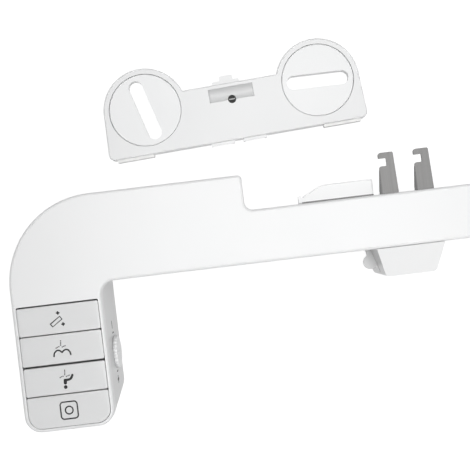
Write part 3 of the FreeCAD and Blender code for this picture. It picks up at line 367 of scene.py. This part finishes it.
def add_key_cap(name):
    """Hollow cap: rings that grow from the middle of the dished top to a rolled edge, the skirt,
    and rings that shrink to the middle of the inside."""
    low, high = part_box("key_" + name)
    corner = FRONT_CORNER if name == "off" else KEY_CORNER
    centre = np.array(middle_of(low, high)[:2])
    brim = key_outline(low, high, corner, KEY_EDGE)
    inner = key_outline(low, high, corner, KEY_WALL)
    rings = []
    for share in np.linspace(0.0, 1.0, TOP_RINGS):
        flat = centre + (brim - centre) * share
        rings.append(np.column_stack([flat, key_top_height(low, high, flat[:, 0], flat[:, 1])]))
    for turn in np.linspace(0.0, QUARTER, ROLL_RINGS + 1)[1:]:
        flat = key_outline(low, high, corner, KEY_EDGE * (1 - math.sin(turn)))
        dish = key_top_height(low, high, flat[:, 0], flat[:, 1])
        rings.append(np.column_stack([flat, dish - KEY_EDGE * (1 - math.cos(turn))]))
    outer = key_outline(low, high, corner, 0.0)
    rings.append(np.column_stack([outer, np.full(len(outer), low.z)]))
    rings.append(np.column_stack([inner, np.full(len(inner), low.z)]))
    for share in (1.0, 0.5, 0.0):
        flat = centre + (inner - centre) * share
        rings.append(np.column_stack([flat, np.full(len(flat), high.z - KEY_TOP)]))
    cap = add_piece("cap_" + name, np.array(rings), FINISHES["keys"], name + "_key",
                    open_ends=True)
    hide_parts("key_" + name)


# ---- pictograms --------------------------------------------------------------------------
INK_PROUD = 0.03 * MM
INK_DEEP = 0.10 * MM
THINNEST_END = 1e-4
PATH_STEPS = 6
END_STEPS = 6
LOOP_STEPS = 48


def smooth_path(known):
    """Points joined by a Catmull-Rom spline: each run is the cubic through its two ends, with
    slopes from its neighbours."""
    ends = np.vstack([2 * known[0] - known[1], known, 2 * known[-1] - known[-2]])
    t = np.linspace(0.0, 1.0, PATH_STEPS, endpoint=False)[:, None]
    runs = []
    for a, b, c, d in zip(ends, ends[1:], ends[2:], ends[3:]):
        square = 2 * a - 5 * b + 4 * c - d
        cube = 3 * b - a - 3 * c + d
        runs.append(0.5 * (2 * b + (c - a) * t + square * t ** 2 + cube * t ** 3))
    return np.vstack(runs + [known[-1:]])


def stroke(path, width):
    """Flat stroke: each point of the path moved half the width to either side. Past each end it
    goes on for half the width, narrowing as the square root of 1 - t^2 while t runs from 0 to 1,
    so that the ends are round."""
    half = width / 2
    steps = unit_rows(np.diff(path, axis=0))
    tangent = unit_rows(np.vstack([steps[:1], steps[:-1] + steps[1:], steps[-1:]]))
    before = np.linspace(1.0, 0.0, END_STEPS + 1)[:-1]
    after = before[::-1]
    start = path[0] - tangent[0] * half * before[:, None]
    finish = path[-1] + tangent[-1] * half * after[:, None]
    line = np.vstack([start, path, finish])
    along = np.vstack([np.repeat(tangent[:1], END_STEPS, 0), tangent,
                       np.repeat(tangent[-1:], END_STEPS, 0)])
    past = np.concatenate([before, np.zeros(len(path)), after])
    reach = half * np.sqrt(np.clip(1 - past ** 2, THINNEST_END, 1))
    side = np.stack([-along[:, 1], along[:, 0]], axis=1) * reach[:, None]
    return line + side, line - side


def add_stroke(name, body, slot, left, right, lay, finish=INK):
    """A stroke as a thin solid: both its sides, sunk in the surface and proud of it, joined as
    rings of four."""
    ring = [lay(right, -INK_DEEP), lay(left, -INK_DEEP),
            lay(left, INK_PROUD), lay(right, INK_PROUD)]
    add_piece(name, np.stack(ring, axis=1), finish, body)


def ring_path(radius, corner):
    """Closed path: a square of that half width with rounded corners, or a circle when the corner
    radius is the half width."""
    turn = np.linspace(0.0, CIRCLE, LOOP_STEPS + 1)
    inner = radius - corner
    direction = np.stack([np.cos(turn), np.sin(turn)], axis=1)
    return np.sign(np.round(direction, 6)) * inner + direction * corner


def add_loop(name, body, path, width, lay):
    """A closed stroke: the path moved half the width outwards and inwards from its middle."""
    path = path[:-1]
    ahead = unit_rows(np.roll(path, -1, 0) - np.roll(path, 1, 0))
    side = np.stack([ahead[:, 1], -ahead[:, 0]], axis=1) * width / 2
    outer, inner = path + side, path - side
    ring = [lay(outer, -INK_DEEP), lay(outer, INK_PROUD),
            lay(inner, INK_PROUD), lay(inner, -INK_DEEP)]
    rows = np.stack(ring, axis=1)
    add_piece(name, np.concatenate([rows, rows[:1]]), INK, body, open_ends=True)


def add_marks(name, body, slot, marks, lay):
    """Every mark of one pictogram: lines, curves and loops, each with its width in millimetres."""
    for number, (kind, points, width) in enumerate(marks):
        label = "%s_%02d" % (name, number)
        if kind == "loop":
            add_loop(label, body, points, width * MM, lay)
        else:
            path = smooth_path(points) if kind == "curve" else points
            left, right = stroke(path, width * MM)
            add_stroke(label, body, slot, left, right, lay)


def dot(x, y, size):
    """A dot is a stroke with almost no length."""
    return ("line", mm((x - 0.02, y), (x + 0.02, y)), size)


WAND_MIDDLE = (-1.7, -1.6)
WAND_SLOPE = math.radians(34.0)
WAND_HALF_LENGTH = 4.1
WAND_HALF_WIDTH = 1.25
SPRAY_DOT = 0.8
SPRAY = ((0.3, 5.2), (0.2, 4.2), (0.1, 3.2), (0.0, 2.2), (-1.3, 1.3), (-2.4, 1.0),
         (-3.3, 0.6), (1.0, 0.9), (2.0, 1.2), (2.9, 1.5))


def wand_corners():
    """Outline of a nozzle wand, rising to the right."""
    middle = mm(WAND_MIDDLE)
    cosine, sine = math.cos(WAND_SLOPE), math.sin(WAND_SLOPE)
    along = np.array([cosine, sine]) * WAND_HALF_LENGTH * MM
    across = np.array([-sine, cosine]) * WAND_HALF_WIDTH * MM
    return np.vstack([middle - along + across, middle + along + across, middle + along - across,
                      middle - along - across, middle - along + across])


def spray(x, y):
    """Dotted jet that fans out to both sides at its foot."""
    return [dot(x + right, y + up, SPRAY_DOT) for right, up in SPRAY]


PICTOGRAMS = {
    "clean": [
        ("line", wand_corners(), 0.8),
        ("line", mm((-0.02, 4.9), (-0.02, 3.3)), 1.0),
        ("line", mm((-0.8, 4.1), (0.8, 4.1)), 1.0),
        ("line", mm((2.8, -3.0), (2.8, -4.6)), 1.0),
        ("line", mm((2.0, -3.8), (3.6, -3.8)), 1.0),
    ],
    "front": [
        ("curve", mm((-5.9, -4.7), (-5.4, -2.6), (-3.6, -1.0), (-1.7, -1.2), (-0.2, -2.6)), 1.05),
        ("curve", mm((-0.2, -2.6), (1.0, -1.5), (2.5, -0.9),
                     (4.1, -1.4), (5.2, -2.9), (5.5, -4.6)), 1.05),
    ] + spray(-0.6, 0.2),
    "rear": [
        dot(-0.5, -5.3, 2.5),
        ("line", mm((-0.3, -0.9), (-0.4, -2.5)), 2.2),
        ("curve", mm((-0.5, -0.5), (1.6, -0.55), (3.3, -0.15), (4.3, 1.1), (4.9, 2.3)), 1.6),
    ] + spray(-0.2, 0.9),
    "off": [
        ("loop", ring_path(5.8 * MM, 2.2 * MM), 0.95),
        ("loop", ring_path(2.6 * MM, 2.6 * MM), 0.95),
    ],
}


def add_pictogram(name):
    """The printed sign on one key, laid on its dished top."""
    low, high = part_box("key_" + name)
    centre = np.array(middle_of(low, high)[:2])

    def lay(flat, lift):
        place = centre + flat
        dish = key_top_height(low, high, place[:, 0], place[:, 1])
        return np.column_stack([place, dish + lift])

    add_marks("sign_" + name, name + "_key", "keys", PICTOGRAMS[name], lay)


# ---- pressure dial -----------------------------------------------------------------------
DIAL_GAP = 0.3 * MM
DIAL_FLUTES = 24
FLUTE_STEPS = 12
FLUTE_DEPTH = 0.45 * MM
FACE_SHARE = 0.9
FACE_RINGS = 12
DOME_FALL = 0.22
ROLL_START = 0.145
ROLL_FALL = 0.25
RIB_HALF_WIDTH = 0.7 * MM
RIB_START = 2.0 * MM
RIB_MARGIN = 2.2 * MM
RIB_RAMP = 0.8 * MM
RIB_RISE = 0.10
FALL_SCALE = 0.4
DIAL_MARKS = [
    ("line", mm((17.6, 1.5), (21.8, 1.5)), 1.8),
    ("curve", mm((13.7, 3.0), (14.2, 0.2), (13.6, -2.6)), 1.0),
    ("curve", mm((-13.7, 3.0), (-14.2, 0.2), (-13.6, -2.6)), 1.0),
    ("line", mm((-17.6, 0.5), (-21.8, 0.5)), 1.8),
    ("line", mm((-19.7, 2.8), (-19.7, -1.8)), 1.8),
]


def add_dial():
    """Fluted knob. Its radius is the full one less a flute depth times the square of sin(12 turn).
    The face is a dome that falls with the fourth power of the share of the radius, then rolls
    over the edge on a quarter circle, and a raised rib points to the setting."""
    low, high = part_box("pressure_dial")
    radius = (high.y - low.y) / 2
    height = high.x - low.x
    _, middle_y, middle_z = middle_of(low, high)
    turn = np.linspace(0.0, CIRCLE, DIAL_FLUTES * FLUTE_STEPS, endpoint=False)
    flute = FLUTE_DEPTH * np.sin(DIAL_FLUTES / 2 * turn) ** 2
    face = np.linspace(0.0, FACE_SHARE, FACE_RINGS)
    roll = np.linspace(0.0, QUARTER, ROLL_RINGS + 1)[1:]
    shares = np.concatenate([face, FACE_SHARE + (1 - FACE_SHARE) * np.sin(roll)])
    falls = np.concatenate([DOME_FALL * face ** 4, ROLL_START + ROLL_FALL * (1 - np.cos(roll))])
    rings = []
    for share, fall in zip(shares, falls):
        fluted = np.clip((share - FACE_SHARE) / (1 - FACE_SHARE), 0, 1)
        y = (radius - flute * fluted) * share * np.cos(turn)
        z = (radius - flute * fluted) * share * np.sin(turn)
        rib = np.exp(-(y / RIB_HALF_WIDTH) ** 4) * np.clip((z - RIB_START) / RIB_RAMP, 0, 1)
        rib = rib * np.clip((radius - RIB_MARGIN - z) / RIB_RAMP, 0, 1)
        x = high.x - RIB_RISE * height - fall * height * FALL_SCALE + RIB_RISE * height * rib
        rings.append(np.column_stack([x, middle_y + y, middle_z + z]))
    for share in (1.0, 0.5, 0.0):
        reach = (radius - flute) * share
        y, z = reach * np.cos(turn), reach * np.sin(turn)
        rings.append(np.column_stack([np.full(len(turn), low.x), middle_y + y, middle_z + z]))
    knob = add_piece("dial_knob", np.array(rings), FINISHES["dial"], "dial", open_ends=True)
    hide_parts("pressure_dial")


def add_dial_marks():
    """A minus, a plus and two ticks on the wall round the dial."""
    low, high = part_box("pressure_dial")
    wall = low.x - DIAL_GAP
    _, middle_y, middle_z = middle_of(low, high)

    def lay(flat, lift):
        x = np.full(len(flat), wall) + lift
        return np.column_stack([x, middle_y + flat[:, 0], middle_z + flat[:, 1]])

    add_marks("sign_dial", "unit", "box", DIAL_MARKS, lay)


# ---- tongue behind the slab --------------------------------------------------------------
TONGUE_TOP = 4.5
TONGUE_LEFT = -74.5
TONGUE_RIGHT = -22.5
TONGUE_CHAMFER = 16.9
TONGUE_TIP = 18.85
SLAB_BACK = 7.35
TRIM_INSET = 0.6
SHADOW_START = 2.9
SHADOW_WIDTH = 0.95
BEAD_START = (3.2, 4.4)
BEAD_END = 1.4
BEAD_WIDTH = 0.9


def add_tongue_trim():
    """A dark strip painted as the shadow that the slab casts on the tongue, and a bead round the
    tongue's free edges, laid as strokes.
    """
    right = TONGUE_RIGHT - TRIM_INSET
    tip = TONGUE_TIP - TRIM_INSET
    gap = SLAB_BACK + TRIM_INSET

    def lay(flat, lift):
        return np.column_stack([flat, np.full(len(flat), TONGUE_TOP * MM) + lift])

    # painted shadow: a dark strip on the tongue along the slab's back edge
    shadow_line = mm((TONGUE_LEFT + SHADOW_START, gap), (right, gap))
    add_stroke("tongue_painted_shadow", "unit", "rubber", *stroke(shadow_line, SHADOW_WIDTH * MM), lay, PAINTED_SHADOW)
    bead = mm((TONGUE_LEFT + BEAD_START[0], SLAB_BACK + BEAD_START[1]),
              (TONGUE_LEFT + TONGUE_CHAMFER, tip), (right, tip), (right, SLAB_BACK + BEAD_END))
    add_stroke("tongue_bead", "unit", "shell", *stroke(bead, BEAD_WIDTH * MM), lay,
               FINISHES["disc"])


# ---- coil springs ------------------------------------------------------------------------
WIRE_SIDES = 10
STEPS_PER_TURN = 28
CLOSED_SHARE = 0.9
KEY_COIL = (5.4 * MM, 0.45 * MM, 5)
LATCH_COIL = (1.5 * MM, 0.25 * MM, 7)
RELEASE_COIL = (1.7 * MM, 0.3 * MM, 7)
BRACKET_TURN = math.radians(3.15)


def add_spring(node, body, start, end, coil_size, anchor):
    """Coil of round wire: radius times (cos, sin) of the turn, climbing along the axis by a share
    of the length. The share is s less CLOSED_SHARE * sin(2 pi s) / (2 pi), which keeps the end
    turns close together. Round each centre stands a circle spanned by the outward direction and
    the one square to it and to the wire. The coil's size is its radius, wire radius and turns."""
    radius, wire, turns = coil_size
    start, end = np.array(start), np.array(end)
    length = np.linalg.norm(end - start)
    axis = (end - start) / length
    helper = np.array([0.0, 0.0, 1.0]) if abs(axis[2]) < 0.9 else np.array([1.0, 0.0, 0.0])
    first = np.cross(axis, helper)
    first /= np.linalg.norm(first)
    second = np.cross(axis, first)
    share = np.linspace(0.0, 1.0, turns * STEPS_PER_TURN + 1)[:, None]
    angle = share * turns * CIRCLE
    outward = first * np.cos(angle) + second * np.sin(angle)
    climb = share - CLOSED_SHARE * np.sin(CIRCLE * share) / CIRCLE
    centre = start + outward * radius + axis * (wire + (length - 2 * wire) * climb)
    square = np.cross(unit_rows(np.gradient(centre, axis=0)), outward)
    around = np.linspace(0.0, CIRCLE, WIRE_SIDES, endpoint=False)[:, None]
    circle = outward[:, None] * np.cos(around) + square[:, None] * np.sin(around)
    coil = add_piece("coil_" + node, centre[:, None] + circle * wire, FINISHES["spring_steel"],
                     body)
    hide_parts(node)
    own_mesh(coil)


def add_springs():
    """The four key springs, the latch spring and the bracket's release spring."""
    for name in KEYS:
        node = "key_spring_" + name
        low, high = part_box(node)
        x, y, _ = middle_of(low, high)
        foot = (x, y, low.z)
        add_spring(node, "unit", foot, (x, y, high.z), KEY_COIL, foot)
    low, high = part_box("latch_spring")
    x, _, z = middle_of(low, high)
    back = (x, high.y, z)
    add_spring("latch_spring", "unit", (x, low.y, z), back, LATCH_COIL,
               back)
    low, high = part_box("release_spring")
    middle = np.array(middle_of(low, high))
    cosine, sine = math.cos(BRACKET_TURN), math.sin(BRACKET_TURN)
    width = 2 * (RELEASE_COIL[0] + RELEASE_COIL[1])
    half = ((high.x - low.x) - width * sine) / cosine / 2
    reach = np.array([cosine, sine, 0.0]) * half
    add_spring("release_spring", "bracket", middle - reach,
               middle + reach, RELEASE_COIL, middle - reach)


# ---- film on the bracket -----------------------------------------------------------------
BRACKET_MIDDLE = (-110.8, 95.05)
FILM_FLOOR = -41.3
FILM_HALF = 16.7
FILM_FRONT = -3.4
FILM_BACK = 6.7
FILM_STEPS = 24


def add_bracket_film():
    """Blank satin film in the shallow recess: a straight band between two long sides, turned
    with the bracket."""
    cosine, sine = math.cos(BRACKET_TURN), math.sin(BRACKET_TURN)

    def lay(flat, lift):
        x = BRACKET_MIDDLE[0] * MM + flat[:, 0] * cosine - flat[:, 1] * sine
        y = BRACKET_MIDDLE[1] * MM + flat[:, 0] * sine + flat[:, 1] * cosine
        return np.column_stack([x, y, np.full(len(flat), FILM_FLOOR * MM) + lift])

    along = np.linspace(-FILM_HALF, FILM_HALF, FILM_STEPS) * MM
    back = np.column_stack([along, np.full(FILM_STEPS, FILM_BACK * MM)])
    front = np.column_stack([along, np.full(FILM_STEPS, FILM_FRONT * MM)])
    satin = moulded_white("satin_film", 0.74, 0.45)
    add_stroke("bracket_film", "bracket", "shell", back, front, lay, satin)


add_springs()
add_tongue_trim()
add_bracket_film()
for key_name in KEYS:
    add_key_cap(key_name)
    add_pictogram(key_name)
add_dial()
add_dial_marks()


# ---- camera, floor and lights ------------------------------------------------------------
TOP_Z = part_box("top_cover")[1].z
FLOOR_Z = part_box("control_box")[0].z
CAMERA_RISE = 0.560
VIEW_WIDTH = 0.3196
CAMERA_PLACE = (-0.12044, -0.00843)
CAMERA_TURN = -6.8
SENSOR_WIDTH = 36.0
FLOOR_HALF = 3.0
FLOOR_GLOW = 0.86
WORLD_STRENGTH = 0.30
LIGHTS = (
    ("overhead", (-0.01, 0.02, 1.05), (-0.01, 0.02, 0.0), 0.80, 3.85, 120.0),
    ("front", (0.25, -0.9, 0.55), (0.0, 0.0, 0.0), 0.5, 1.9, 180.0),
    ("side", (0.9, 0.5, 0.6), (-0.1, 0.0, 0.0), 0.6, 0.9, 180.0),
)


def add_camera():
    """Straight-down camera, turned a little so that the slab climbs to the right."""
    data = bpy.data.cameras.new("camera")
    data.sensor_width = SENSOR_WIDTH
    data.lens = SENSOR_WIDTH * CAMERA_RISE / VIEW_WIDTH
    camera = bpy.data.objects.new("camera", data)
    camera.location = (*CAMERA_PLACE, TOP_Z + CAMERA_RISE)
    camera.rotation_euler = (0.0, 0.0, math.radians(CAMERA_TURN))
    bpy.context.scene.collection.objects.link(camera)
    bpy.context.scene.camera = camera


def add_floor():
    """Large pale sheet that the unit and its bracket lie on; it throws no light back at them."""
    mesh = bpy.data.meshes.new("floor")
    signs = ((-1, -1), (1, -1), (1, 1), (-1, 1))
    corners = [(FLOOR_HALF * x, FLOOR_HALF * y, FLOOR_Z) for x, y in signs]
    mesh.from_pydata(corners, [], [(0, 1, 2, 3)])
    floor = bpy.data.objects.new("floor", mesh)
    paper = Finish("white_paper", Roughness=0.9, Emission_Strength=FLOOR_GLOW)
    fibre = paper.noise(0.004, detail=4.0)
    paper.set("Base Color", paper.mix(fibre, grey(0.26), grey(0.30)))
    paper.surface.inputs["Emission Color"].default_value = grey(1.0)
    mesh.materials.append(paper.material)
    bpy.context.scene.collection.objects.link(floor)
    floor.visible_diffuse = False


def add_area_light(name, place, aim, size, watts, spread):
    """Square light turned to face its aim: place, aim and size in metres, spread in degrees."""
    data = bpy.data.lights.new(name, "AREA")
    data.size = size
    data.spread = math.radians(spread)
    data.energy = watts
    light = bpy.data.objects.new(name, data)
    light.location = place
    direction = np.array(aim) - np.array(place)
    yaw = math.atan2(direction[1], direction[0])
    pitch = math.atan2(math.hypot(direction[0], direction[1]), -direction[2])
    light.rotation_euler = (pitch, 0.0, yaw - QUARTER)
    bpy.context.scene.collection.objects.link(light)


def add_world():
    """Even white light from all round."""
    world = bpy.data.worlds.new("studio")
    world.use_nodes = True
    background = world.node_tree.nodes["Background"]
    background.inputs["Color"].default_value = grey(1.0)
    background.inputs["Strength"].default_value = WORLD_STRENGTH
    bpy.context.scene.world = world


bpy.context.scene.view_settings.view_transform = "Standard"
add_camera()
add_floor()
add_world()
for light_row in LIGHTS:
    add_area_light(*light_row)
